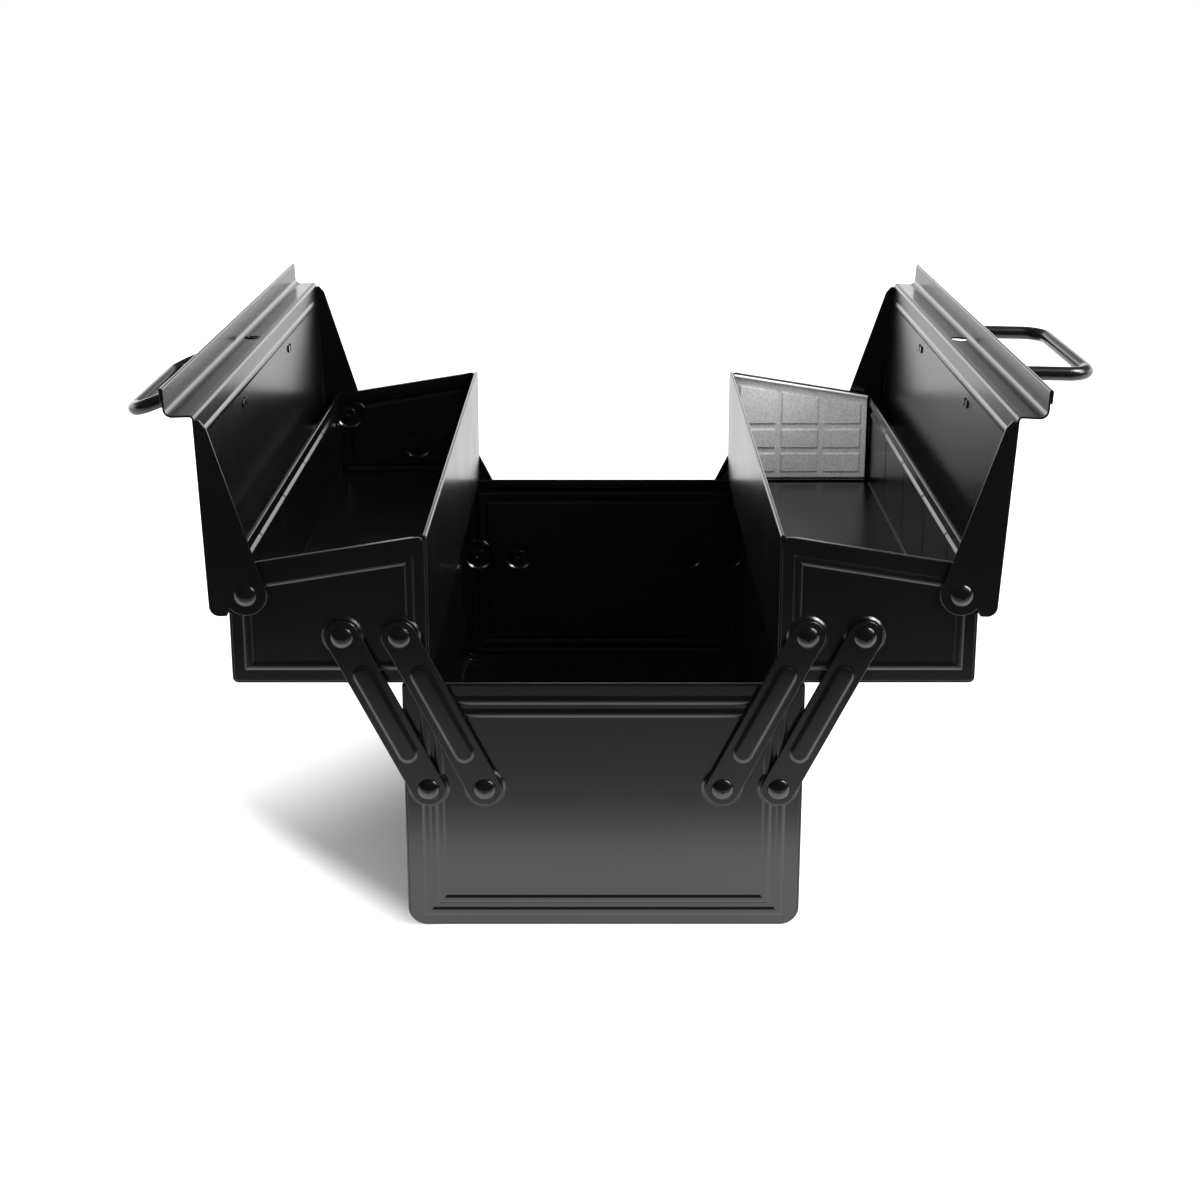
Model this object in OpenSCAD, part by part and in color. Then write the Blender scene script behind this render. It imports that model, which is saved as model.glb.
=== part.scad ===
// Two-stage cantilever tool box, standing open: a deep base, two trays that swing out on
// eight flat arms, a hinged lid on each tray and a folding handle on each lid.
// X runs across the box (the trays swing along it), Y along its length, Z up.
// The origin is the centre of the base's floor, on the ground. The front end faces -Y.

/* [Base box] */
// Width of the base across its two long walls
base_w = 204; // [190:1:230]
// Length of the base over its two end panels
base_l = 338; // [290:1:420]
// Height of the base from the ground to its rim
base_h = 136; // [120:1:170]
// Outside radius of the two rounded bottom edges of the base
base_r = 10; // [6:0.5:14]

/* [Sheet steel] */
// Thickness of the base and tray sheet
sheet = 1; // [0.8:0.05:1.1]
// Thickness of the lid sheet
lid_t = 1; // [0.8:0.05:1.1]
// Thickness of a folded hem, with the gap between its two leaves
hem_t = 2.4; // [2.2:0.1:2.8]
// Height of a folded hem
hem_h = 6; // [4:0.5:8]
// Length of the flanges by which the end panels are welded into the wraps
flange_l = 10; // [6:0.5:14]
// Gap left all round between an end panel and its wrap
panel_fit = 0.1; // [0.05:0.05:0.2]

/* [Pressed beads and bosses] */
// Distance from a panel's edge to the centre of its outer bead
bead_inset = 11; // [9:0.5:13]
// Amount by which the foot of a tray's bead frame lies nearer the panel's edge
bead_foot_in = 1.5; // [0:0.5:2]
// Amount by which the foot of the base's bead frame lies nearer the panel's edge
base_foot_in = 3; // [0:0.5:3.5]
// Amount by which the top of the base's bead frame lies nearer the rim
base_top_in = 2; // [0:0.5:2]
// Amount by which the sides of a tray's bead frame lie nearer the panel's edges
bead_side_in = 2; // [0:0.5:2.5]
// Distance between the centres of the two beads on a base end panel
bead_pitch = 7; // [6:0.5:8]
// Width of a bead
bead_w = 4.8; // [4:0.2:5.4]
// Height of a bead above its panel
bead_rise = 0.8; // [0.5:0.1:0.9]
// Radius of the foot of a pressed boss round a rivet
boss_r = 10.6; // [10:0.1:11]
// Height of a boss above its panel
boss_rise = 1.2; // [1:0.1:1.4]
// Width by which the side of a boss slopes
boss_slope = 1.2; // [0.8:0.1:1.6]

/* [Trays] */
// Gap between the two closed trays
tray_gap = 9.6; // [7:0.2:14]
// Distance that a closed tray reaches past the base's long wall
tray_overhang = 2.4; // [1:0.2:4]
// Height of a tray's low outer wall
tray_out_h = 62; // [56:1:74]
// Height of a tray's tall inner wall
tray_in_h = 78.3; // [75:0.1:92]
// Outside radius of the two bottom edges of a tray
tray_r = 3; // [2:0.5:5]
// Air between a resting tray and the base's rim
tray_lift = 0.5; // [0.3:0.1:1]
// Radius of the corners where an end panel's top edge meets the long walls
tray_corner_r = 3.5; // [2:0.5:5]
// Depth of the divider bead in a tray's outer wall, and height of each of its slopes
div_bead_d = 2; // [1.6:0.1:2.4]
// Width of the divider bead
div_bead_w = 6; // [5:0.5:7]
// Distance from the outer rim down to the centre of the divider bead
div_bead_drop = 10; // [9.5:0.5:12]
// Number of divider slits along the outer wall
slit_n = 4; // [3:1:5]
// Distance between two divider slits
slit_pitch = 65; // [50:1:66]
// Width of a divider slit
slit_w = 1.6; // [1.2:0.1:2]
// Depth of the guide line that runs down the wall under each slit
score_d = 0.3; // [0.2:0.05:0.4]

/* [Arms] */
// Distance between the two pivots of an arm
arm_l = 93; // [88:0.5:98]
// Lean of an arm from upright when its tray is fully open
arm_lean = 26.5; // [24:0.5:29]
// Distance between the two arms at one corner, pivot to pivot
arm_pitch = 28.7; // [26:0.1:32]
// Width of an arm
arm_w = 17.6; // [16:0.2:19]
// Thickness of an arm
arm_t = 1.6; // [1.4:0.1:2]
// Distance from the base's long wall to the outer arm's pivot
arm_inset = 12.5; // [11.5:0.5:16]
// Distance from the base's rim down to the arm pivots
pivot_drop = 57; // [50:1:60]
// Width of the rib pressed into an arm
rib_w = 9.6; // [8:0.2:10.4]
// Distance from an arm's pivot to the start of its rib
rib_start = 18; // [16:0.5:22]
// Height of the rib
rib_rise = 1; // [0.8:0.1:1.2]

/* [Rivets] */
// Radius of a rivet's shank
rivet_r = 2.5; // [2:0.1:2.8]
// Radius of a rivet's domed head
head_r = 5.8; // [5.2:0.1:6.4]
// Height of a rivet's domed head
head_h = 2.6; // [2:0.1:3]
// Radius of a rivet's rolled tail
tail_r = 4.2; // [3.8:0.1:4.6]
// Height of a rivet's rolled tail
tail_h = 1.6; // [1.2:0.1:2]
// Radial clearance of a drilled hole round a fixed rivet
drill_fit = 0.05; // [0.03:0.01:0.1]
// Radial running clearance of a pivot bore round its rivet
pivot_fit = 0.06; // [0.04:0.01:0.1]
// Radial clearance of the bore in an inner arm round its tray rivet
free_fit = 0.3; // [0.2:0.05:0.4]
// Air between stacked flat pieces that move on each other
face_fit = 0.2; // [0.15:0.05:0.3]

/* [Lids] */
// Distance from a tray's outer wall in to its lid pivot
lid_inset = 9.1; // [8.5:0.1:11]
// Distance from a tray's outer rim down to its lid pivot
lid_drop = 14.2; // [13:0.1:16]
// Air between the plate's inner face and the tray's outer rim as the lid turns
lid_clear = 0.63; // [0.4:0.01:1]
// Radius of the round ear that carries the lid on its rivet
ear_r = 10.5; // [9.5:0.1:12]
// Distance from the plate out to the lip of the ridge
ridge_step = 13.9; // [13:0.1:16]
// Height of the ridge lip
lip_h = 15; // [13:0.5:16]
// Height of the hem along the lip's free edge
lip_hem_h = 7; // [5:0.5:8]
// Radius of the bend between the step and the lip
lip_bend_r = 4.5; // [3:0.5:5]
// Distance from the tray's inner rim back to the step
ridge_setback = 1.6; // [1:0.1:2]
// Depth of the lid's turned-in lower flange
skirt_drop = 10.5; // [10:0.1:12]
// Width of a cheek at the ridge
cheek_top_w = 6.2; // [5:0.2:8]
// Distance from the ridge step down to the inner corner of a cheek's top
cheek_top_drop = 5.6; // [4:0.2:7]
// Inside gap left between the skirt's edge and the tray's outer wall
skirt_fit = 0.5; // [0.4:0.1:0.8]
// Outside radius of the bend between the plate and the ridge step
ridge_bend_r = 2.4; // [1.5:0.1:3]
// Lean of the open left lid past upright
left_lean = 1.8; // [0:0.1:3]
// Lean of the open right lid past upright
right_lean = 3.2; // [0:0.1:4]
// Radius of the padlock hole in the ridge step
padlock_r = 4.75; // [3.5:0.25:5.5]
// Distance from the step down to the stiffening bead on the plate
lid_bead_drop = 11.5; // [10:0.5:14]

/* [Handles] */
// Radius of the handle bar
bar_r = 4; // [3.5:0.1:4.2]
// Distance from the handle's hinge to the middle of its grip
handle_reach = 66; // [58:1:76]
// Distance between the two legs of a handle, centre to centre
handle_span = 105; // [84:0.2:120]
// Radius of the two grip corners, on the bar's centre line
grip_bend_r = 13; // [10:0.5:16]
// Radius of the elbow at the foot of each leg, on the bar's centre line
foot_bend_r = 6; // [5:0.5:8]
// Length of the straight hinge stub at the foot of each leg
stub_l = 15; // [14:1:20]
// Turn of the left handle down from straight out of its lid
left_turn = 19.5; // [-8:0.5:85]
// Turn of the right handle down from straight out of its lid
right_turn = -2; // [-8:0.5:85]
// Thickness of the handle strap
strap_t = 1.2; // [1:0.1:1.3]
// Width of the handle strap
strap_w = 12; // [10:0.5:13]
// Length of the strap's foot on the plate
strap_foot = 14; // [10:1:18]
// Radius of the shank of a strap rivet
strap_rivet_r = 1.5; // [1.2:0.1:1.6]
// Radius of the head of a strap rivet
strap_rivet_head_r = 2.6; // [2.2:0.1:2.8]
// Height of the head of a strap rivet
strap_rivet_head_h = 1.3; // [1:0.1:1.6]
// Radial running clearance of the strap round the handle's stub
strap_fit = 0.08; // [0.05:0.01:0.1]
// Air between the handle bar and the lid plate
bar_air = 0.5; // [0.3:0.1:0.8]
// Air between a strap and the ridge step above it
strap_air = 0.8; // [0.6:0.1:1.2]
// Distance along the stub from the end of the handle's elbow to its strap
bend_air = 1; // [0.5:0.5:2]
// Distance from a strap rivet's head to the edge of the strap's foot
strap_edge = 0.8; // [0.5:0.1:1.5]
// Radius of the flat tail of a strap rivet
strap_tail_r = 2.2; // [1.8:0.1:2.4]
// Height of the flat tail of a strap rivet
strap_tail_h = 0.8; // [0.5:0.1:1]

/* [Divider] */
// Thickness of the loose divider plate
div_t = 0.8; // [0.6:0.1:1]
// Height of the pads pressed into the divider
pad_rise = 0.8; // [0.5:0.1:1]
// Distance between neighbouring pads
pad_gap = 4.5; // [3.5:0.5:6]
// Number of pads across, and also down, the divider
pad_n = 3; // [2:1:4]
// Depth of the divider's folded top edge
div_lip = 3; // [2:0.5:4]
// Air all round between the divider and the tray
div_fit = 0.5; // [0.4:0.1:0.8]
// Distance from the divider's back face to the tray's back panel
div_stand = 4; // [3.5:0.5:8]

/* [Hidden] */
$fn = 64;
eps = 0.01;
mitre_slit = 0.02;
// Length by which a cutting shape runs past the faces that it cuts.
past = 4;

// Colours of the finishes.
satin_black = [0.09, 0.09, 0.095];
gloss_black = [0.05, 0.05, 0.055];
zinc = [0.74, 0.75, 0.76];

// Arm geometry. A swing from open to closed carries a tray inwards by twice arm_dx.
arm_dx = arm_l * sin(arm_lean);
arm_dz = arm_l * cos(arm_lean);
outer_x = base_w / 2 - arm_inset;
inner_x = outer_x - arm_pitch;
base_pivot_z = base_h - pivot_drop;
tray_pivot_z = base_pivot_z + arm_dz;

// Tray box in its open place.
tray_w = base_w / 2 + tray_overhang - tray_gap / 2;
tray_x0 = tray_gap / 2 + 2 * arm_dx;
tray_x1 = tray_x0 + tray_w;
tray_z0 = base_h + tray_lift;
tray_z_out = tray_z0 + tray_out_h;
tray_z_in = tray_z0 + tray_in_h;
rim_slope = atan((tray_in_h - tray_out_h) / tray_w);

// Faces stacked along Y outwards from the end panels.
panel_y = base_l / 2;
hem_y = panel_y - sheet - panel_fit;
boss_y = panel_y + boss_rise;
arm_y = boss_y + face_fit;
arm_head_y = arm_y + arm_t + face_fit;
cheek_y = boss_y + face_fit;
cheek_out_y = cheek_y + lid_t;
cheek_head_y = cheek_out_y + face_fit;

// Lid pivot, and the lid's own plane: n runs out from the pivot to the plate and u from
// the pivot up to the ridge.
lid_x = tray_x1 - lid_inset;
lid_z = tray_z_out - lid_drop;
plate_n0 = norm([lid_inset, lid_drop]) + lid_clear;
plate_n1 = plate_n0 + lid_t;
rim_u = (tray_w - lid_inset) * cos(rim_slope) + (tray_z_in - lid_z) * sin(rim_slope);
step_u = rim_u - ridge_setback;
lip_n1 = plate_n1 + ridge_step;
lip_u1 = step_u + lip_h;
skirt_r = skirt_drop / 2;
cheek_top_n = plate_n1 - cheek_top_w;
cheek_top_u = step_u - cheek_top_drop;
lid_bead_u = step_u - lid_bead_drop;
lid_bead_l = base_l - 2 * hem_t - 2 * flange_l;

// Handle hinge in the lid's plane. It clears the step by the strap and a little air.
hinge_n = plate_n1 + bar_r + bar_air;
hinge_u = step_u - bar_r - strap_fit - strap_t - strap_air;
strap_y0 = handle_span / 2 + foot_bend_r + bend_air;
strap_rivet_u = hinge_u - bar_r - strap_fit - strap_foot + strap_rivet_head_r + strap_edge;

// The strap's upper end stops short of the plate, clear of the bend up into the step.
strap_end_air = (ridge_bend_r - lid_t) / 2;

// ---- shared shapes -------------------------------------------------------------------

// Puts a right-hand piece on the right (1) or, mirrored, on the left (-1).
module on_side(s) {
    if (s > 0) children();
    else mirror([1, 0, 0]) children();
}

// Puts a front-end piece at the front (-1) or, mirrored, at the back (1).
module on_end(e) {
    if (e < 0) children();
    else mirror([0, 1, 0]) children();
}

// Extrudes an outline drawn in X and Z along Y, between two values of Y.
module along_y(y0, y1) {
    translate([0, y1, 0])
        rotate([90, 0, 0])
            linear_extrude(y1 - y0)
                children();
}

// A box between two corners.
module block(p, q) {
    translate(p)
        cube(q - p);
}

// A cylinder along Y between two values of Y.
module rod_y(x, z, r, y0, y1) {
    translate([x, y1, z])
        rotate([90, 0, 0])
            cylinder(r = r, h = y1 - y0);
}

// Filled U outline with rounded bottom corners; its two sides may differ in height.
module tub_outline(x0, x1, z0, z_left, z_right, r) {
    translate([x0, z0 + r])
        square([r, z_left - z0 - r]);
    translate([x1 - r, z0 + r])
        square([r, z_right - z0 - r]);
    polygon([[x0 + r, z0], [x1 - r, z0], [x1 - r, z_right], [x0 + r, z_left]]);
    for (x = [x0 + r, x1 - r])
        translate([x, z0 + r])
            circle(r);
}

// Cross-section of a hem with its outer left corner at x and its top at z.
module wrap_hem(x, z) {
    translate([x + hem_t / 2, z - hem_t / 2])
        circle(hem_t / 2);
    translate([x, z - hem_h])
        square([hem_t, hem_h - hem_t / 2]);
}

// Corner points of a convex outline moved inwards by d. Points run counter-clockwise.
function unit(v) = v / norm(v);
function inset_point(p, i, d) = let(
    k = len(p),
    a = unit(p[i] - p[(i + k - 1) % k]),
    b = unit(p[(i + 1) % k] - p[i]),
    na = [-a[1], a[0]],
    nb = [-b[1], b[0]]
) p[i] + d * (na + nb) / (1 + na * nb);
function inset_outline(p, d) = [for (i = [0 : len(p) - 1]) inset_point(p, i, d)];

// Radius of the arc that is w wide and rises by h.
function arc_radius(w, h) = (w * w / 4 + h * h) / (2 * h);

// A closed frame of half-round ridges along an outline, standing up from z = 0. The
// corners are mitred. cut_t, when given, makes the hollow on the sheet's back instead.
// slit parts the mitres of a frame whose corners are not square by a hairline.
module bead_frame(p, w, rise, cut_t = 0, slit = 0) {
    k = len(p);
    outer = inset_outline(p, -w / 2);
    inner = inset_outline(p, w / 2);
    arc_r = arc_radius(w, rise);
    for (i = [0 : k - 1]) {
        j = (i + 1) % k;
        side = p[j] - p[i];
        part = slit * unit(side);
        intersection() {
            translate([p[i][0], p[i][1], rise - arc_r])
                rotate([0, 0, atan2(side[1], side[0])])
                    rotate([0, 90, 0])
                        translate([0, 0, -w])
                            cylinder(r = arc_r - cut_t, h = norm(side) + 2 * w);
            translate([0, 0, -cut_t - eps * sign(cut_t)])
                linear_extrude(rise + cut_t + past)
                    polygon([outer[i] + part, outer[j] - part, inner[j] - part,
                             inner[i] + part]);
        }
    }
}

// Turns a shape that stands on the XY plane so that it stands out of the front panel:
// its x stays, its y becomes Z and its z points to -Y.
module on_front_face(y) {
    translate([0, -y, 0])
        rotate([90, 0, 0])
            children();
}

// Pressed boss round a rivet on the front panel, and the hollow behind it.
module boss(x, z) {
    on_front_face(panel_y)
        translate([x, z, 0])
            cylinder(r1 = boss_r, r2 = boss_r - boss_slope, h = boss_rise);
}

module boss_hollow(x, z) {
    on_front_face(panel_y - sheet - eps)
        translate([x, z, 0])
            cylinder(r1 = boss_r - sheet / 2, r2 = boss_r - boss_slope - sheet / 2,
                     h = boss_rise + eps);
    on_front_face(panel_y - past)
        translate([x, z, 0])
            cylinder(r = rivet_r + drill_fit, h = 2 * past);
}

// A domed rivet at the front. Its head sits at head_y and its rolled tail inside the boss.
module rivet(x, z, head_y) {
    dome_r = arc_radius(2 * head_r, head_h);
    tail_y = boss_y - sheet;
    on_front_face(0)
        translate([x, z, 0])
            difference() {
                union() {
                    intersection() {
                        translate([0, 0, head_y + head_h - dome_r])
                            sphere(dome_r);
                        translate([0, 0, head_y])
                            cylinder(r = dome_r, h = dome_r);
                    }
                    translate([0, 0, tail_y - tail_h])
                        cylinder(r = rivet_r, h = head_y - tail_y + tail_h + head_h / 4);
                    translate([0, 0, tail_y - tail_h])
                        cylinder(r = tail_r, h = tail_h);
                }
                translate([0, 0, tail_y - tail_h - eps])
                    cylinder(r = rivet_r * 0.6, h = tail_h + sheet);
            }
}

// ---- base ----------------------------------------------------------------------------

// One sheet bent into a U: the floor and both long walls, with hemmed rims.
module base_wrap() {
    half = base_w / 2;
    color(satin_black) {
        along_y(-panel_y + sheet / 2, panel_y - sheet / 2)
            difference() {
                tub_outline(-half, half, 0, base_h - hem_t / 2, base_h - hem_t / 2, base_r);
                tub_outline(-half + sheet, half - sheet, sheet, base_h, base_h,
                            base_r - sheet);
            }
        along_y(-hem_y, hem_y) {
            wrap_hem(-half, base_h);
            wrap_hem(half - hem_t, base_h);
        }
    }
}

// Outline of a base end panel.
base_panel_x = base_w / 2 - sheet - panel_fit;
base_panel_z0 = sheet + panel_fit;
base_panel_r = base_r - sheet - panel_fit;
base_bead = [
    [-base_w / 2 + bead_inset, bead_inset - base_foot_in],
    [base_w / 2 - bead_inset, bead_inset - base_foot_in],
    [base_w / 2 - bead_inset, base_h - bead_inset + base_top_in],
    [-base_w / 2 + bead_inset, base_h - bead_inset + base_top_in]
];

// A flat pan: the end wall with two bead frames, four bosses, a hemmed rim and a flange
// that lies inside the wrap.
module base_end() {
    inner = base_panel_x - hem_t + sheet;
    color(satin_black)
        difference() {
            union() {
                along_y(-panel_y, -panel_y + sheet)
                    tub_outline(-base_panel_x, base_panel_x, base_panel_z0,
                                base_h - hem_t / 2, base_h - hem_t / 2, base_panel_r);
                along_y(-panel_y, -panel_y + flange_l)
                    difference() {
                        tub_outline(-base_panel_x, base_panel_x, base_panel_z0,
                                    base_h - hem_h - sheet, base_h - hem_h - sheet,
                                    base_panel_r);
                        tub_outline(-base_panel_x + sheet, base_panel_x - sheet,
                                    base_panel_z0 + sheet, base_h, base_h,
                                    base_panel_r - sheet);
                    }
                block([-inner + hem_t, -panel_y, base_h - hem_h],
                      [inner - hem_t, -panel_y + hem_t, base_h - hem_t / 2]);
                translate([-inner + hem_t, -panel_y + hem_t / 2, base_h - hem_t / 2])
                    rotate([0, 90, 0])
                        cylinder(r = hem_t / 2, h = 2 * (inner - hem_t));
                on_front_face(panel_y) {
                    bead_frame(base_bead, bead_w, bead_rise);
                    bead_frame(inset_outline(base_bead, bead_pitch), bead_w, bead_rise);
                }
                for (x = [-outer_x, -inner_x, inner_x, outer_x])
                    boss(x, base_pivot_z);
            }
            difference() {
                on_front_face(panel_y) {
                    bead_frame(base_bead, bead_w, bead_rise, sheet);
                    bead_frame(inset_outline(base_bead, bead_pitch), bead_w, bead_rise, sheet);
                }
                for (x = [-outer_x, -inner_x, inner_x, outer_x])
                    rod_y(x, base_pivot_z, boss_r + sheet / 2, -panel_y - past, -panel_y + past);
            }
            for (x = [-outer_x, -inner_x, inner_x, outer_x])
                boss_hollow(x, base_pivot_z);
        }
}

// The four rivets at one end of the base, on which the arms turn.
module base_rivets() {
    color(gloss_black)
        for (x = [-outer_x, -inner_x, inner_x, outer_x])
            rivet(x, base_pivot_z, arm_head_y);
}

// ---- arms ----------------------------------------------------------------------------

// A flat arm with round ends and a pressed rib. fit is the clearance of its upper bore.
module arm(x, fit) {
    rib_l = arm_l - 2 * rib_start;
    color(satin_black)
        translate([x, 0, base_pivot_z])
            rotate([0, arm_lean, 0])
                on_front_face(arm_y)
                    difference() {
                        union() {
                            translate([-arm_w / 2, 0, 0])
                                cube([arm_w, arm_l, arm_t]);
                            for (y = [0, arm_l])
                                translate([0, y, 0])
                                    cylinder(d = arm_w, h = arm_t);
                            arm_rib(rib_w, rib_l, rib_rise, arm_t);
                        }
                        translate([0, 0, -eps])
                            arm_rib(rib_w - 2 * arm_t, rib_l - 2 * arm_t, rib_rise, 0);
                        translate([0, 0, -past])
                            cylinder(r = rivet_r + pivot_fit, h = 2 * past);
                        translate([0, arm_l, -past])
                            cylinder(r = rivet_r + fit, h = 2 * past);
                    }
}

// Bar with round ends along the middle of an arm, standing rise above z.
module arm_rib(w, l, rise, z) {
    for (y = [arm_l / 2 - l / 2 + w / 2, arm_l / 2 + l / 2 - w / 2])
        translate([0, y, z])
            cylinder(d = w, h = rise + eps);
    translate([-w / 2, arm_l / 2 - l / 2 + w / 2, z])
        cube([w, l - w, rise + eps]);
}

// ---- trays ---------------------------------------------------------------------------

div_bead_z = tray_z_out - div_bead_drop;
div_bead_l = base_l - 4 * flange_l;
slit_first = -(slit_n - 1) / 2 * slit_pitch;

// Section of the divider bead on a wall face at x, with a flat crest between two slopes.
// It runs on by back behind that face.
module div_bead_section(x, back) {
    z0 = div_bead_z - div_bead_w / 2;
    z1 = div_bead_z + div_bead_w / 2;
    polygon([[x + back, z0], [x + back, z1], [x, z1], [x - div_bead_d, z1 - div_bead_d],
             [x - div_bead_d, z0 + div_bead_d], [x, z0]]);
}

// One sheet bent into a U: the tray's floor, its tall inner wall and its low outer wall.
// The outer wall has a bead pressed inwards, cut by slits that hold dividers.
module tray_wrap() {
    color(satin_black)
        difference() {
            union() {
                along_y(-panel_y + sheet / 2, panel_y - sheet / 2)
                    difference() {
                        tub_outline(tray_x0, tray_x1, tray_z0, tray_z_in - hem_t / 2,
                                    tray_z_out - hem_t / 2, tray_r);
                        tub_outline(tray_x0 + sheet, tray_x1 - sheet, tray_z0 + sheet,
                                    tray_z_in, tray_z_in, tray_r - sheet);
                    }
                along_y(-hem_y, hem_y) {
                    wrap_hem(tray_x0, tray_z_in);
                    wrap_hem(tray_x1 - hem_t, tray_z_out);
                }
                along_y(-div_bead_l / 2, div_bead_l / 2)
                    div_bead_section(tray_x1 - sheet, sheet / 2);
            }
            along_y(-div_bead_l / 2 + sheet, div_bead_l / 2 - sheet)
                div_bead_section(tray_x1, past);
            for (i = [0 : slit_n - 1])
                translate([0, slit_first + i * slit_pitch, 0]) {
                    block([tray_x1 - 2 * sheet - div_bead_d, -slit_w / 2,
                           div_bead_z - div_bead_w / 2 - sheet],
                          [tray_x1 + past, slit_w / 2, div_bead_z + div_bead_w / 2]);
                    block([tray_x1 - 2 * sheet, -slit_w / 2, tray_z0 + tray_r + sheet],
                          [tray_x1 - sheet + score_d, slit_w / 2, div_bead_z]);
                }
        }
}

// Outline of a tray end panel, with round top corners.
panel_x0 = tray_x0 + sheet + panel_fit;
panel_x1 = tray_x1 - sheet - panel_fit;
panel_z0 = tray_z0 + sheet + panel_fit;
panel_r = tray_r - sheet - panel_fit;
function rim_z(x) = tray_z_out + (tray_x1 - x) * tan(rim_slope);
tray_bead_x0 = tray_x0 + bead_inset - bead_side_in;
tray_bead_x1 = tray_x1 - bead_inset + bead_side_in;
tray_bead = [
    [tray_bead_x0, tray_z0 + bead_inset - bead_foot_in],
    [tray_bead_x1, tray_z0 + bead_inset - bead_foot_in],
    [tray_bead_x1, rim_z(tray_bead_x1) - bead_inset],
    [tray_bead_x0, rim_z(tray_bead_x0) - bead_inset]
];

module tray_panel_outline(r) {
    c = tray_corner_r;
    drop = c / cos(rim_slope);
    intersection() {
        tub_outline(panel_x0, panel_x1, panel_z0, tray_z_in, tray_z_in, r);
        union() {
            polygon([
                [panel_x0, tray_z0], [panel_x1, tray_z0],
                [panel_x1, rim_z(panel_x1 - c) - drop],
                [panel_x1 - c + c * sin(rim_slope),
                 rim_z(panel_x1 - c) - drop + c * cos(rim_slope)],
                [panel_x0 + c + c * sin(rim_slope),
                 rim_z(panel_x0 + c) - drop + c * cos(rim_slope)],
                [panel_x0, rim_z(panel_x0 + c) - drop]
            ]);
            for (x = [panel_x0 + c, panel_x1 - c])
                translate([x, rim_z(x) - drop])
                    circle(c);
        }
    }
}

// A flat pan: the sloping end wall with one bead frame, bosses for the arm rivets and the
// lid rivet, a folded rim, and flanges that lie inside the wrap.
module tray_end() {
    boss_x = [inner_x + arm_dx, outer_x + arm_dx];
    flange_top = div_bead_z - div_bead_w;
    rim_in = [panel_x0 + hem_t + tray_corner_r, panel_x1 - hem_t - tray_corner_r];
    color(satin_black)
        difference() {
            union() {
                along_y(-panel_y, -panel_y + sheet)
                    tray_panel_outline(panel_r);
                along_y(-panel_y, -panel_y + flange_l)
                    difference() {
                        tub_outline(panel_x0, panel_x1, panel_z0, flange_top, flange_top,
                                    panel_r);
                        translate([panel_x0 + sheet, panel_z0 + sheet])
                            square([panel_x1 - panel_x0 - 2 * sheet, tray_in_h]);
                    }
                along_y(-panel_y + sheet / 2, -panel_y + hem_t)
                    polygon([
                        [rim_in[0], rim_z(rim_in[0]) - hem_h],
                        [rim_in[1], rim_z(rim_in[1]) - hem_h],
                        [rim_in[1], rim_z(rim_in[1])],
                        [rim_in[0], rim_z(rim_in[0])]
                    ]);
                on_front_face(panel_y)
                    bead_frame(tray_bead, bead_w, bead_rise, 0, mitre_slit);
                for (x = boss_x)
                    boss(x, tray_pivot_z);
                boss(lid_x, lid_z);
            }
            difference() {
                on_front_face(panel_y)
                    bead_frame(tray_bead, bead_w, bead_rise, sheet, mitre_slit);
                for (x = boss_x)
                    rod_y(x, tray_pivot_z, boss_r + sheet / 2, -panel_y - past, -panel_y + past);
                rod_y(lid_x, lid_z, boss_r + sheet / 2, -panel_y - past, -panel_y + past);
            }
            for (x = boss_x)
                boss_hollow(x, tray_pivot_z);
            boss_hollow(lid_x, lid_z);
        }
}

// The four rivets that carry a tray on its arms, two at each end.
module tray_rivets() {
    color(gloss_black)
        for (e = [-1, 1], x = [inner_x, outer_x])
            on_end(e)
                rivet(x + arm_dx, tray_pivot_z, arm_head_y);
}

// The two rivets on which a lid turns.
module lid_rivets() {
    color(gloss_black)
        for (e = [-1, 1])
            on_end(e)
                rivet(lid_x, lid_z, cheek_head_y);
}

// ---- lids ----------------------------------------------------------------------------

// Places a shape drawn in the lid's own plane (n along X, u along Z) at an open lid.
module at_lid(lean) {
    translate([lid_x, 0, lid_z])
        rotate([0, lean, 0])
            children();
}

// Quarter of a bent sheet: ring sector round a centre, in the quadrant given by qx and qz.
module bend(centre, r, t, qx, qz) {
    translate(centre)
        intersection() {
            difference() {
                circle(r);
                circle(r - t);
            }
            translate([qx > 0 ? 0 : -r, qz > 0 ? 0 : -r])
                square(r);
        }
}

// Cross-section of a lid: the turned-in skirt, the plate, the step and the hemmed lip. The
// skirt ends clear of the tray's outer wall at the given lean.
module lid_section(lean) {
    skirt_tip_n = (lid_inset + skirt_fit + skirt_drop * sin(lean)) / cos(lean);
    translate([plate_n0, -skirt_drop + skirt_r])
        square([lid_t, step_u + lid_t - ridge_bend_r + skirt_drop - skirt_r]);
    bend([plate_n1 - skirt_r, -skirt_drop + skirt_r], skirt_r, lid_t, 1, -1);
    translate([skirt_tip_n, -skirt_drop])
        square([plate_n1 - skirt_r - skirt_tip_n, lid_t]);
    bend([plate_n0 + ridge_bend_r, step_u + lid_t - ridge_bend_r], ridge_bend_r, lid_t, -1, 1);
    translate([plate_n0 + ridge_bend_r, step_u])
        square([lip_n1 - lip_bend_r - plate_n0 - ridge_bend_r, lid_t]);
    bend([lip_n1 - lip_bend_r, step_u + lip_bend_r], lip_bend_r, lid_t, 1, -1);
    translate([lip_n1 - lid_t, step_u + lip_bend_r])
        square([lid_t, lip_h - lip_bend_r - lid_t]);
    translate([lip_n1, lip_u1 - lid_t])
        circle(lid_t);
    translate([lip_n1 - lid_t, lip_u1 - lip_hem_h])
        square([2 * lid_t, lip_hem_h - lid_t]);
}

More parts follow.
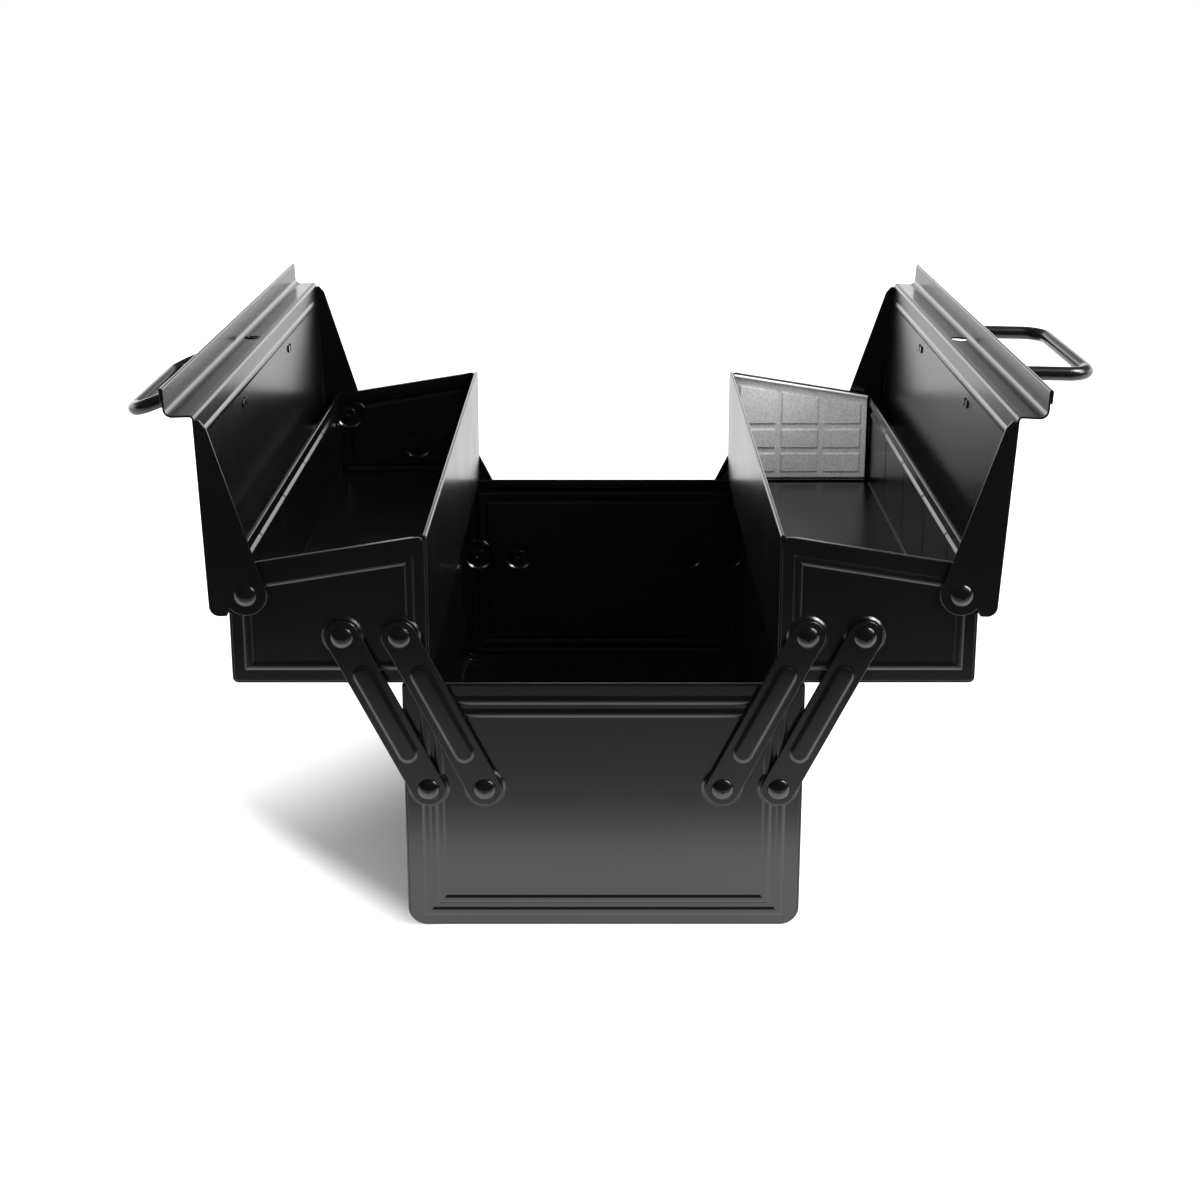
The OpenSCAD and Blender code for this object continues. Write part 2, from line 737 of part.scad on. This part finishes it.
// Outline of a cheek: a tapering plate from the ridge down to the round ear, and the round
// lobe that closes the end of the skirt.
module cheek_outline() {
    reach = norm([cheek_top_n, cheek_top_u]);
    turn = atan2(cheek_top_n, cheek_top_u) + asin(ear_r / reach);
    tangent = sqrt(reach * reach - ear_r * ear_r);
    foot = [cheek_top_n, cheek_top_u] - tangent * [sin(turn), cos(turn)];
    top_r = cheek_top_w / 2;
    difference() {
        union() {
            polygon([
                [0, 0],
                foot,
                [cheek_top_n, cheek_top_u],
                [plate_n1 - top_r, step_u - ridge_setback],
                [plate_n1, step_u - ridge_setback],
                [plate_n1, -skirt_drop + skirt_r],
                [plate_n1 - skirt_r, -skirt_drop + skirt_r]
            ]);
            circle(ear_r);
            translate([plate_n1 - skirt_r, -skirt_drop + skirt_r])
                circle(skirt_r);
        }
        circle(rivet_r + pivot_fit);
    }
}

// The lid pressed from one sheet, as it stands open at the given lean. A stiffening bead
// is pressed inwards along the plate, between the end rims of the tray.
module lid(lean) {
    arc_r = arc_radius(bead_w, bead_rise);
    bead_n = plate_n0 - bead_rise + arc_r;
    color(satin_black)
        at_lid(lean)
            difference() {
                union() {
                    along_y(-cheek_out_y, cheek_out_y)
                        lid_section(lean);
                    along_y(-cheek_out_y, -cheek_y)
                        cheek_outline();
                    along_y(cheek_y, cheek_out_y)
                        cheek_outline();
                    intersection() {
                        rod_y(bead_n, lid_bead_u, arc_r, -lid_bead_l / 2, lid_bead_l / 2);
                        block([plate_n0 - 2 * bead_rise, -panel_y, 0],
                              [plate_n0 + lid_t / 2, panel_y, step_u]);
                    }
                }
                rod_y(bead_n, lid_bead_u, arc_r - lid_t, -lid_bead_l / 2 + lid_t,
                      lid_bead_l / 2 - lid_t);
                translate([(plate_n1 + lip_n1) / 2, 0, step_u - past])
                    cylinder(r = padlock_r, h = 2 * past);
                strap_rivet_places()
                    translate([0, 0, -past])
                        cylinder(r = strap_rivet_r + drill_fit, h = 2 * past);
            }
}

// ---- handles -------------------------------------------------------------------------

// Places a shape on the plate's outer face at each strap rivet of both straps, with its z
// pointing out of the plate.
module strap_rivet_places() {
    for (e = [-1, 1], s = [-1, 1])
        on_end(e)
            translate([plate_n1, -strap_y0 - strap_w / 2 + s * strap_w / 4, strap_rivet_u])
                rotate([0, 90, 0])
                    children();
}

// Strap riveted to the plate's outer face, holding the stub at the foot of one leg.
module strap(lean) {
    hold_r = bar_r + strap_fit;
    color(satin_black)
        at_lid(lean)
            difference() {
                along_y(-strap_y0 - strap_w, -strap_y0)
                    difference() {
                        union() {
                            translate([hinge_n, hinge_u])
                                circle(hold_r + strap_t);
                            translate([plate_n1, hinge_u - hold_r - strap_t])
                                square([hinge_n - plate_n1, 2 * (hold_r + strap_t)]);
                            translate([plate_n1, hinge_u - hold_r - strap_foot])
                                square([strap_t, strap_foot]);
                        }
                        translate([hinge_n, hinge_u])
                            circle(hold_r);
                        translate([plate_n1 - past, hinge_u - hold_r])
                            square([hinge_n - plate_n1 + past, 2 * hold_r]);
                        translate([plate_n1 - past, hinge_u])
                            square([past + strap_end_air, past + hold_r]);
                    }
                strap_rivet_places()
                    translate([0, 0, -past])
                        cylinder(r = strap_rivet_r + drill_fit, h = 2 * past);
            }
}

// The four small rivets that hold both straps of one lid, with domed heads outside and
// flat tails inside.
module strap_rivets(lean) {
    dome_r = arc_radius(2 * strap_rivet_head_r, strap_rivet_head_h);
    color(gloss_black)
        at_lid(lean)
            strap_rivet_places() {
                intersection() {
                    translate([0, 0, strap_t + strap_rivet_head_h - dome_r])
                        sphere(dome_r);
                    translate([0, 0, strap_t])
                        cylinder(r = dome_r, h = dome_r);
                }
                translate([0, 0, -lid_t - strap_tail_h])
                    cylinder(r = strap_rivet_r,
                             h = lid_t + strap_tail_h + strap_t + strap_rivet_head_h / 4);
                translate([0, 0, -lid_t - strap_tail_h])
                    cylinder(r = strap_tail_r, h = strap_tail_h);
            }
}

// Quarter turn of the round bar, in the XY plane round the origin.
module bar_bend(r) {
    rotate_extrude(angle = 90)
        translate([r, 0])
            circle(bar_r);
}

// The U-shaped handle bar. Its feet turn outwards and lie in the straps.
module handle(lean, turn) {
    half = handle_span / 2;
    color(gloss_black)
        at_lid(lean)
            translate([hinge_n, 0, hinge_u])
                rotate([0, turn, 0]) {
                    rod_y(handle_reach, 0, bar_r, -half + grip_bend_r, half - grip_bend_r);
                    for (e = [-1, 1])
                        on_end(e) {
                            translate([handle_reach - grip_bend_r, -half + grip_bend_r, 0])
                                rotate([0, 0, -90])
                                    bar_bend(grip_bend_r);
                            translate([foot_bend_r, -half, 0])
                                rotate([0, 90, 0])
                                    cylinder(r = bar_r,
                                             h = handle_reach - grip_bend_r - foot_bend_r);
                            translate([foot_bend_r, -half - foot_bend_r, 0])
                                rotate([0, 0, 90])
                                    bar_bend(foot_bend_r);
                            rod_y(0, 0, bar_r, -half - foot_bend_r - stub_l,
                                  -half - foot_bend_r);
                        }
                }
}

// ---- divider -------------------------------------------------------------------------

// The loose zinc-plated divider, standing at the back of the right tray.
module tray_divider() {
    x0 = tray_x0 + hem_t + div_fit;
    x1 = tray_x1 - sheet - div_bead_d - div_fit;
    z0 = panel_z0 + sheet + div_fit;
    y1 = panel_y - sheet - div_stand;
    y0 = y1 - div_t;
    pad_w = (x1 - x0 - (pad_n + 1) * pad_gap) / pad_n;
    pad_h = (rim_z(x1) - z0 - div_lip - (pad_n + 1) * pad_gap) / pad_n;
    color(zinc)
        difference() {
            union() {
                divider_slab(x0, x1, z0, z0, y0, y1);
                divider_slab(x0, x1, rim_z(x0) - div_fit - div_t, rim_z(x1) - div_fit - div_t,
                             y0 - div_lip, y1);
                for (i = [0 : pad_n - 1], j = [0 : pad_n - 1])
                    divider_pad(x0 + pad_gap + i * (pad_w + pad_gap), pad_w,
                                z0 + pad_gap + j * (pad_h + pad_gap), pad_h,
                                j == pad_n - 1, y0 - pad_rise, y0 + eps);
            }
            for (i = [0 : pad_n - 1], j = [0 : pad_n - 1])
                divider_pad(x0 + pad_gap + i * (pad_w + pad_gap) + div_t, pad_w - 2 * div_t,
                            z0 + pad_gap + j * (pad_h + pad_gap) + div_t,
                            pad_h - 2 * div_t, j == pad_n - 1, y1 - pad_rise, y1 + past);
        }
}

// Slab between two values of Y. Its top follows the rim, and its foot runs from z0 at x0
// to z1 at x1.
module divider_slab(x0, x1, z0, z1, y0, y1) {
    along_y(y0, y1)
        polygon([
            [x0, z0],
            [x1, z1],
            [x1, rim_z(x1) - div_fit],
            [x0, rim_z(x0) - div_fit]
        ]);
}

// One pressed pad. The pads of the top row end in a slope parallel to the rim.
module divider_pad(x, w, z, h, top, y0, y1) {
    along_y(y0, y1)
        polygon([
            [x, z],
            [x + w, z],
            [x + w, top ? rim_z(x + w) - div_lip - pad_gap : z + h],
            [x, top ? rim_z(x) - div_lip - pad_gap : z + h]
        ]);
}

// ---- assembly ------------------------------------------------------------------------

base_wrap();
base_end();  // base_end_front
on_end(1) base_end();  // base_end_back
base_rivets();  // base_rivets_front
on_end(1) base_rivets();  // base_rivets_back

on_side(-1) arm(outer_x, pivot_fit);  // left_outer_arm_front
on_side(-1) on_end(1) arm(outer_x, pivot_fit);  // left_outer_arm_back
on_side(-1) arm(inner_x, free_fit);  // left_inner_arm_front
on_side(-1) on_end(1) arm(inner_x, free_fit);  // left_inner_arm_back
on_side(-1) tray_wrap();  // left_tray_wrap
on_side(-1) tray_end();  // left_tray_end_front
on_side(-1) on_end(1) tray_end();  // left_tray_end_back
on_side(-1) tray_rivets();  // left_tray_rivets
on_side(-1) lid_rivets();  // left_lid_rivets
on_side(-1) lid(left_lean);  // left_lid
on_side(-1) strap(left_lean);  // left_strap_front
on_side(-1) on_end(1) strap(left_lean);  // left_strap_back
on_side(-1) strap_rivets(left_lean);  // left_strap_rivets
on_side(-1) handle(left_lean, left_turn);  // left_handle

arm(outer_x, pivot_fit);  // right_outer_arm_front
on_end(1) arm(outer_x, pivot_fit);  // right_outer_arm_back
arm(inner_x, free_fit);  // right_inner_arm_front
on_end(1) arm(inner_x, free_fit);  // right_inner_arm_back
tray_wrap();  // right_tray_wrap
tray_end();  // right_tray_end_front
on_end(1) tray_end();  // right_tray_end_back
tray_rivets();  // right_tray_rivets
lid_rivets();  // right_lid_rivets
lid(right_lean);  // right_lid
strap(right_lean);  // right_strap_front
on_end(1) strap(right_lean);  // right_strap_back
strap_rivets(right_lean);  // right_strap_rivets
handle(right_lean, right_turn);  // right_handle
tray_divider();  // right_tray_divider
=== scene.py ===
import math

import bmesh
import bpy
from mathutils import Matrix, Vector


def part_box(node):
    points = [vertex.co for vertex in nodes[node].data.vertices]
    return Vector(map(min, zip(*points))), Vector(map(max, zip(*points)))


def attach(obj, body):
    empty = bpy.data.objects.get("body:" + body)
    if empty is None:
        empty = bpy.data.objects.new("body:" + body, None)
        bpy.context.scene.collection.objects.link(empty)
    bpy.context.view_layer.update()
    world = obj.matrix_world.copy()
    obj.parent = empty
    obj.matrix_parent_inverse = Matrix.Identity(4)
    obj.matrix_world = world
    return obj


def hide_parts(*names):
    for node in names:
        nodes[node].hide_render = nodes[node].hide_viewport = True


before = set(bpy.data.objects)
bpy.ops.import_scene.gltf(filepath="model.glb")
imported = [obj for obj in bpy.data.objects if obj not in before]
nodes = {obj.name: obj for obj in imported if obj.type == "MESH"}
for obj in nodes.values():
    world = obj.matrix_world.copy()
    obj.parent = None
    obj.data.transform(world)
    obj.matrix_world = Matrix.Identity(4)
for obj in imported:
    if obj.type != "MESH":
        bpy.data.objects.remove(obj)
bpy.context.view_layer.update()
scene = bpy.context.scene

# ---- camera ----------------------------------------------------------------------------
# A 48.5 mm lens on a 36 mm sensor, held in front of the box and above it. The lens is
# shifted down, as on a studio camera, so that the box's upright edges stay upright.
camera = bpy.data.cameras.new("camera")
camera.lens = 48.5
camera.sensor_width = 36
camera.shift_x = -0.003
camera.shift_y = -0.2167
camera_tilt = math.radians(12.86)
camera_object = bpy.data.objects.new("camera", camera)
camera_object.location = (0, -0.9268, 0.4873)
camera_object.rotation_euler = (math.pi / 2 - camera_tilt, 0, 0)
scene.collection.objects.link(camera_object)
scene.camera = camera_object

# ---- studio floor ----------------------------------------------------------------------
# A sheet of white paper under the box, which ends a little in front of it. Its grey is darker
# towards the front there, painted shade that shows in reflections. It glows for the camera
# except beside the base, where a painted shadow lies between three soft edges: one under the
# lid, one in front, one at the base. Real shading shows only inside that painted shape.
paper_half_width = 2.5
paper_front = -0.45
paper_back = 3.5
paper_grey_and_painted_shade = (0.16, 0.42)
painted_shade_ends = (-0.3, -0.24)
# For each edge of the painted shadow, the way across it and where it begins and ends along that
# way.
painted_shadow_edges = (((0.661, -0.75, 0), (-0.2, -0.023)),
                ((0.71, 0.705, 0), (-0.211, -0.173)),
                ((-1, 0, 0), (0.07, 0.105)))
painted_shadow_glow = 0.03
mirror_glow = 0.55
bm = bmesh.new()
bmesh.ops.create_grid(bm, x_segments=1, y_segments=1, size=1)
paper_size = (paper_half_width, (paper_back - paper_front) / 2, 1)
bmesh.ops.scale(bm, vec=paper_size, verts=bm.verts)
bmesh.ops.translate(bm, vec=(0, (paper_back + paper_front) / 2, 0), verts=bm.verts)
floor_mesh = bpy.data.meshes.new("floor")
bm.to_mesh(floor_mesh)
bm.free()
floor = bpy.data.objects.new("floor", floor_mesh)
scene.collection.objects.link(floor)


def fade(tree, source, start, end, low, high):
    ramp = tree.nodes.new("ShaderNodeMapRange")
    ramp.interpolation_type = "SMOOTHSTEP"
    ramp.inputs["From Min"].default_value = start
    ramp.inputs["From Max"].default_value = end
    ramp.inputs["To Min"].default_value = low
    ramp.inputs["To Max"].default_value = high
    tree.links.new(source, ramp.inputs["Value"])
    return ramp.outputs["Result"]


def blend_values(tree, factor, low, high):
    mix = tree.nodes.new("ShaderNodeMix")
    for source, socket in ((factor, "Factor"), (low, "A"), (high, "B")):
        if isinstance(source, (int, float)):
            mix.inputs[socket].default_value = source
        else:
            tree.links.new(source, mix.inputs[socket])
    return mix.outputs["Result"]


paper = bpy.data.materials.new("paper")
paper.use_nodes = True
tree = paper.node_tree
shader = tree.nodes["Principled BSDF"]
shader.inputs["Roughness"].default_value = 0.9
shader.inputs["Specular IOR Level"].default_value = 0.1
place = tree.nodes.new("ShaderNodeTexCoord")
split = tree.nodes.new("ShaderNodeSeparateXYZ")
tree.links.new(place.outputs["Object"], split.inputs[0])
# Painted shade: the paper's grey is darker towards the front.
grey_and_painted_shade = fade(tree, split.outputs["Y"], *painted_shade_ends, *paper_grey_and_painted_shade)
tree.links.new(grey_and_painted_shade, shader.inputs["Base Color"])
# Painted shadow: a mask, set for the rest pose, that cuts the camera glow back beside the base.
painted_shadow_mask = 1
for way, ends in painted_shadow_edges:
    across = tree.nodes.new("ShaderNodeVectorMath")
    across.operation = "DOT_PRODUCT"
    across.inputs[1].default_value = way
    tree.links.new(place.outputs["Object"], across.inputs[0])
    edge = fade(tree, across.outputs["Value"], *ends, 0, 1)
    painted_shadow_mask = blend_values(tree, edge, 0, painted_shadow_mask)
camera_white_with_painted_shadow = blend_values(tree, painted_shadow_mask, 1, painted_shadow_glow)
light_path = tree.nodes.new("ShaderNodeLightPath")
# Painted shade: the paper's glow in reflections fades out towards the front.
mirrored = fade(tree, split.outputs["Y"], *painted_shade_ends, 0, mirror_glow)
glow = blend_values(tree, light_path.outputs["Is Glossy Ray"], 0, mirrored)
glow = blend_values(tree, light_path.outputs["Is Camera Ray"], glow, camera_white_with_painted_shadow)
shader.inputs["Emission Color"].default_value = (1, 1, 1, 1)
tree.links.new(glow, shader.inputs["Emission Strength"])
floor_mesh.materials.append(paper)

# ---- studio light ----------------------------------------------------------------------
# A white backdrop behind the box that fades out above the lids, a darker room in front, and
# a soft lamp high on the right with a small one below it. The camera sees pure white.
room_light = 1.5
backdrop_glow = 2.4
ceiling_glow = 0.16
dark_side_glow = 0.01
backdrop_front = (-0.1, 0.25)
backdrop_top = (0.19, 0.32)
world = bpy.data.worlds.new("studio")
scene.world = world
world.use_nodes = True
tree = world.node_tree
background = tree.nodes["Background"]
background.inputs["Color"].default_value = (1, 1, 1, 1)
direction = tree.nodes.new("ShaderNodeTexCoord")
split = tree.nodes.new("ShaderNodeSeparateXYZ")
tree.links.new(direction.outputs["Generated"], split.inputs[0])
behind = fade(tree, split.outputs["Y"], *backdrop_front, 0, 1)
backdrop = fade(tree, split.outputs["Z"], *backdrop_top, backdrop_glow, ceiling_glow)
mirrored = blend_values(tree, behind, dark_side_glow, backdrop)
light_path = tree.nodes.new("ShaderNodeLightPath")
lit = blend_values(tree, light_path.outputs["Is Glossy Ray"], room_light, mirrored)
seen = tree.nodes.new("ShaderNodeMath")
seen.operation = "MAXIMUM"
tree.links.new(light_path.outputs["Is Camera Ray"], seen.inputs[0])
tree.links.new(light_path.outputs["Is Transmission Ray"], seen.inputs[1])
strength = blend_values(tree, seen.outputs[0], lit, 1)
tree.links.new(strength, background.inputs["Strength"])


lamp_target = (0, 0, 0.1)


def add_lamp(name, place, size, watts):
    lamp = bpy.data.lights.new(name, "AREA")
    lamp.size = size
    lamp.energy = watts
    lamp_object = bpy.data.objects.new(name, lamp)
    aim = Vector(lamp_target) - Vector(place)
    lamp_object.location = place
    lamp_object.rotation_euler = aim.to_track_quat("-Z", "Y").to_euler()
    scene.collection.objects.link(lamp_object)


add_lamp("key_lamp", (1.1, -0.4, 1.3), size=0.6, watts=22)
add_lamp("side_lamp", (1.3, -0.45, 0.75), size=0.35, watts=4)

# ---- base wrap -------------------------------------------------------------------------
# The floor and both long walls of the base: one steel sheet bent into a U, with hemmed
# rims, enamelled black. The coat has a fine orange peel and thins a little on its edges.
edge_radius = 0.0007
edge_turn = (0.86, 0.995)
peel_height = 0.00005
cloud_scale = 22
mottle_range = (0.3, 0.7)
mottle_dulling = (0.96, 1.05)
worn_range = (0.42, 0.6)
coat = bpy.data.node_groups.new("coat", "ShaderNodeTree")
for socket in ("Grain size", "Depth"):
    coat.interface.new_socket(socket, in_out="INPUT", socket_type="NodeSocketFloat")
coat.interface.new_socket("Normal", in_out="OUTPUT", socket_type="NodeSocketVector")
coat.interface.new_socket("Mottle", in_out="OUTPUT", socket_type="NodeSocketFloat")
coat.interface.new_socket("Edge", in_out="OUTPUT", socket_type="NodeSocketFloat")
group_in = coat.nodes.new("NodeGroupInput")
group_out = coat.nodes.new("NodeGroupOutput")
place = coat.nodes.new("ShaderNodeTexCoord")
grain = coat.nodes.new("ShaderNodeTexNoise")
grain.inputs["Detail"].default_value = 2
cloud = coat.nodes.new("ShaderNodeTexNoise")
cloud.inputs["Scale"].default_value = cloud_scale
cloud.inputs["Detail"].default_value = 5
rounding = coat.nodes.new("ShaderNodeBevel")
rounding.samples = 6
rounding.inputs["Radius"].default_value = edge_radius
geometry = coat.nodes.new("ShaderNodeNewGeometry")
facing = coat.nodes.new("ShaderNodeVectorMath")
facing.operation = "DOT_PRODUCT"
bump = coat.nodes.new("ShaderNodeBump")
bump.inputs["Distance"].default_value = peel_height
link = coat.links.new
link(place.outputs["Object"], grain.inputs["Vector"])
link(place.outputs["Object"], cloud.inputs["Vector"])
link(group_in.outputs["Grain size"], grain.inputs["Scale"])
link(group_in.outputs["Depth"], bump.inputs["Strength"])
link(grain.outputs["Fac"], bump.inputs["Height"])
link(rounding.outputs["Normal"], bump.inputs["Normal"])
link(rounding.outputs["Normal"], facing.inputs[0])
link(geometry.outputs["Normal"], facing.inputs[1])
link(bump.outputs["Normal"], group_out.inputs["Normal"])
link(cloud.outputs["Fac"], group_out.inputs["Mottle"])
link(fade(coat, facing.outputs["Value"], *edge_turn, 1, 0), group_out.inputs["Edge"])


def enamel(name, colour, edge_colour, roughness, specular, grain_size, depth):
    material = bpy.data.materials.new(name)
    material.use_nodes = True
    tree = material.node_tree
    shader = tree.nodes["Principled BSDF"]
    finish = tree.nodes.new("ShaderNodeGroup")
    finish.node_tree = coat
    finish.inputs["Grain size"].default_value = grain_size
    finish.inputs["Depth"].default_value = depth
    tree.links.new(finish.outputs["Normal"], shader.inputs["Normal"])
    dull = fade(tree, finish.outputs["Mottle"], *mottle_range,
                *(roughness * share for share in mottle_dulling))
    tree.links.new(dull, shader.inputs["Roughness"])
    worn = tree.nodes.new("ShaderNodeMath")
    worn.operation = "MULTIPLY"
    patches = fade(tree, finish.outputs["Mottle"], *worn_range, 0, 1)
    tree.links.new(patches, worn.inputs[0])
    tree.links.new(finish.outputs["Edge"], worn.inputs[1])
    tint = tree.nodes.new("ShaderNodeMix")
    tint.data_type = "RGBA"
    tint.inputs["A"].default_value = (*colour, 1)
    tint.inputs["B"].default_value = (*edge_colour, 1)
    tree.links.new(worn.outputs[0], tint.inputs["Factor"])
    tree.links.new(tint.outputs["Result"], shader.inputs["Base Color"])
    shader.inputs["Specular IOR Level"].default_value = specular
    return material


def dress(material, *names):
    for name in names:
        nodes[name].data.materials.clear()
        nodes[name].data.materials.append(material)


body_enamel = enamel("body_enamel", (0.001, 0.001, 0.0011), (0.012, 0.012, 0.0125),
                     roughness=0.24, specular=1, grain_size=1500, depth=0.12)
dress(body_enamel, "base_wrap")

# ---- base end panels -------------------------------------------------------------------
# Flat pans that close the two ends of the base, spot-welded inside the wrap: a hemmed rim,
# two pressed bead frames and four pressed bosses each, in the same black enamel.
dress(body_enamel, "base_end_front", "base_end_back")

# ---- base rivets -----------------------------------------------------------------------
# Domed steel rivets on which the arms turn, four at each end of the base. They were set
# before painting, so that their glossy coat is a little thicker.
rivet_enamel = enamel("rivet_enamel", (0.0015, 0.0015, 0.0016), (0.012, 0.012, 0.0125),
                      roughness=0.2, specular=1, grain_size=900, depth=0.15)
dress(rivet_enamel, "base_rivets_front", "base_rivets_back")

# ---- arms ------------------------------------------------------------------------------
# Eight flat steel arms that carry the trays, two to each end of a tray. Each is a stamped
# strap with round ends, a soft pressed rib that is hollow behind, and a hole at each end.
arm_lean = math.radians(26.5)
arm_half_pitch = 0.0465
arm_hole_radius = 0.00256
rib_half_run = 0.0237
ring_steps = 64
merge_distance = 0.000002
mm_per_m = 1000
# Sections of the arm's wall, its rib and the hollow behind it: radius and height in mm.
arm_wall = ((8.3, 1.6), (8.5, 1.6), (8.71, 1.51), (8.8, 1.3), (8.8, 0.3), (8.71, 0.09),
            (8.5, 0), (8.3, 0))
arm_rib = ((2.9, 2.6), (3.4, 2.58), (3.9, 2.48), (4.3, 2.26), (4.7, 1.95), (5.1, 1.7),
           (5.5, 1.61), (5.9, 1.6))
arm_hollow = ((1.9, 1), (2.3, 0.98), (2.8, 0.84), (3.3, 0.5), (3.8, 0.15), (4.3, 0), (4.7, 0))


def add_ring(bm, radius, half_run, height, centre=0):
    turn = Matrix.Rotation(math.pi / ring_steps, 4, "Z")
    ring = bmesh.ops.create_circle(bm, segments=ring_steps, radius=radius, matrix=turn)
    for corner in ring["verts"]:
        corner.co.y += math.copysign(half_run, corner.co.y) + centre
        corner.co.z = height
    return list(dict.fromkeys(edge for corner in ring["verts"] for edge in corner.link_edges))


def join_rings(bm, rings):
    for lower, upper in zip(rings, rings[1:]):
        bmesh.ops.bridge_loops(bm, edges=lower + upper)


def finish_mesh(name, bm, material, sharp_angle=40):
    bmesh.ops.remove_doubles(bm, verts=bm.verts, dist=merge_distance)
    bmesh.ops.recalc_face_normals(bm, faces=bm.faces)
    for face in bm.faces:
        face.smooth = True
    mesh = bpy.data.meshes.new(name)
    bm.to_mesh(mesh)
    bm.free()
    mesh.set_sharp_from_angle(angle=math.radians(sharp_angle))
    mesh.materials.append(material)
    piece = bpy.data.objects.new(name, mesh)
    scene.collection.objects.link(piece)
    return piece


def make_arm(name):
    bm = bmesh.new()
    wall = [add_ring(bm, r / mm_per_m, arm_half_pitch, h / mm_per_m) for r, h in arm_wall]
    rib = [add_ring(bm, r / mm_per_m, rib_half_run, h / mm_per_m) for r, h in arm_rib]
    hollow = [add_ring(bm, r / mm_per_m, rib_half_run, h / mm_per_m) for r, h in arm_hollow]
    top = wall[0] + rib[-1]
    bottom = wall[-1] + hollow[-1]
    for end in (-arm_half_pitch, arm_half_pitch):
        hole = [add_ring(bm, arm_hole_radius, 0, h, end) for h in (0, arm_wall[0][1] / mm_per_m)]
        join_rings(bm, hole)
        bottom += hole[0]
        top += hole[1]
    join_rings(bm, wall)
    join_rings(bm, rib)
    join_rings(bm, hollow)
    for edges in (top, bottom, rib[0], hollow[0]):
        bmesh.ops.triangle_fill(bm, edges=edges, use_beauty=True)
    low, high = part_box(name)
    middle = (Vector(low) + Vector(high)) / 2
    side = math.copysign(1, middle.x)
    end = math.copysign(1, middle.y)
    across = Vector((side * math.cos(arm_lean), 0, -math.sin(arm_lean)))
    along = Vector((side * math.sin(arm_lean), 0, math.cos(arm_lean)))
    place = Matrix((across, along, Vector((0, end, 0)))).transposed().to_4x4()
    place.translation = (middle.x, end * min(abs(low[1]), abs(high[1])), middle.z)
    bmesh.ops.transform(bm, matrix=place, verts=bm.verts)
    arm = finish_mesh(name + "_strap", bm, body_enamel)
    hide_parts(name)
    return arm


for side in ("left", "right"):
    for row in ("outer", "inner"):
        for end in ("front", "back"):
            arm = make_arm(f"{side}_{row}_arm_{end}")
            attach(arm, f"{side}_{row}_arms")

# ---- trays -----------------------------------------------------------------------------
# Each tray is a wrap of one bent sheet, whose low outer wall has a pressed bead and slits
# for a divider, with two sloping end panels welded in. All of it is black enamel.
for side in ("left", "right"):
    dress(body_enamel, side + "_tray_wrap", side + "_tray_end_front", side + "_tray_end_back")

# ---- tray and lid rivets ---------------------------------------------------------------
# Domed rivets at the ends of each tray: four hold the arms and two carry the lid. They
# were painted over, as those of the base.
for side in ("left", "right"):
    dress(rivet_enamel, side + "_tray_rivets", side + "_lid_rivets")

# ---- lids ------------------------------------------------------------------------------
# Bent sheet with a cheek at each end, a stepped ridge with a folded lip along the top, and
# a turned-in skirt. They hang on their rivets and are enamelled as the trays.
dress(body_enamel, "left_lid", "right_lid")

# ---- handle straps ---------------------------------------------------------------------
# Short steel straps that hold a handle's feet, riveted to the lid.
for side in ("left", "right"):
    dress(body_enamel, side + "_strap_front", side + "_strap_back")
    dress(rivet_enamel, side + "_strap_rivets")

# ---- handles ---------------------------------------------------------------------------
# Round steel bar bent into a U, with its feet turned out into the straps. Its enamel is
# thicker and glossier than that of the sheet.
handle_enamel = enamel("handle_enamel", (0.003, 0.003, 0.0032), (0.02, 0.02, 0.021),
                       roughness=0.25, specular=0.7, grain_size=450, depth=0.15)
dress(handle_enamel, "left_handle", "right_handle")

# ---- divider ---------------------------------------------------------------------------
# A loose plate of bright zinc-plated sheet that stands across the right tray, with nine
# pressed pads and a turned top edge. The plating is grainy and has faint crystal spangles.
spangle_scale = 900
grit_scale = 900
zinc_brightness = (0.75, 0.97)
zinc_roughness = (0.34, 0.52)
pad_edge_radius = 0.0012
divider_zinc = bpy.data.materials.new("divider_zinc")
divider_zinc.use_nodes = True
tree = divider_zinc.node_tree
shader = tree.nodes["Principled BSDF"]
place = tree.nodes.new("ShaderNodeTexCoord")
spangle = tree.nodes.new("ShaderNodeTexVoronoi")
spangle.inputs["Scale"].default_value = spangle_scale
grit = tree.nodes.new("ShaderNodeTexNoise")
grit.inputs["Scale"].default_value = grit_scale
grit.inputs["Detail"].default_value = 4
tree.links.new(place.outputs["Object"], spangle.inputs["Vector"])
tree.links.new(place.outputs["Object"], grit.inputs["Vector"])
crystal = tree.nodes.new("ShaderNodeSeparateXYZ")
tree.links.new(spangle.outputs["Color"], crystal.inputs[0])
tone = blend_values(tree, 0.5, crystal.outputs["X"], grit.outputs["Fac"])
tree.links.new(fade(tree, tone, 0.15, 0.85, *zinc_brightness), shader.inputs["Base Color"])
tree.links.new(fade(tree, tone, 0.2, 0.8, *zinc_roughness), shader.inputs["Roughness"])
shader.inputs["Metallic"].default_value = 0.05
rough = tree.nodes.new("ShaderNodeBump")
rough.inputs["Strength"].default_value = 0.35
rough.inputs["Distance"].default_value = 0.00008
tree.links.new(tone, rough.inputs["Height"])
pressed = tree.nodes.new("ShaderNodeBevel")
pressed.samples = 6
pressed.inputs["Radius"].default_value = pad_edge_radius
tree.links.new(pressed.outputs["Normal"], rough.inputs["Normal"])
tree.links.new(rough.outputs["Normal"], shader.inputs["Normal"])
dress(divider_zinc, "right_tray_divider")

# ---- end -------------------------------------------------------------------------------
# The plain view transform.
scene.view_settings.view_transform = "Standard"
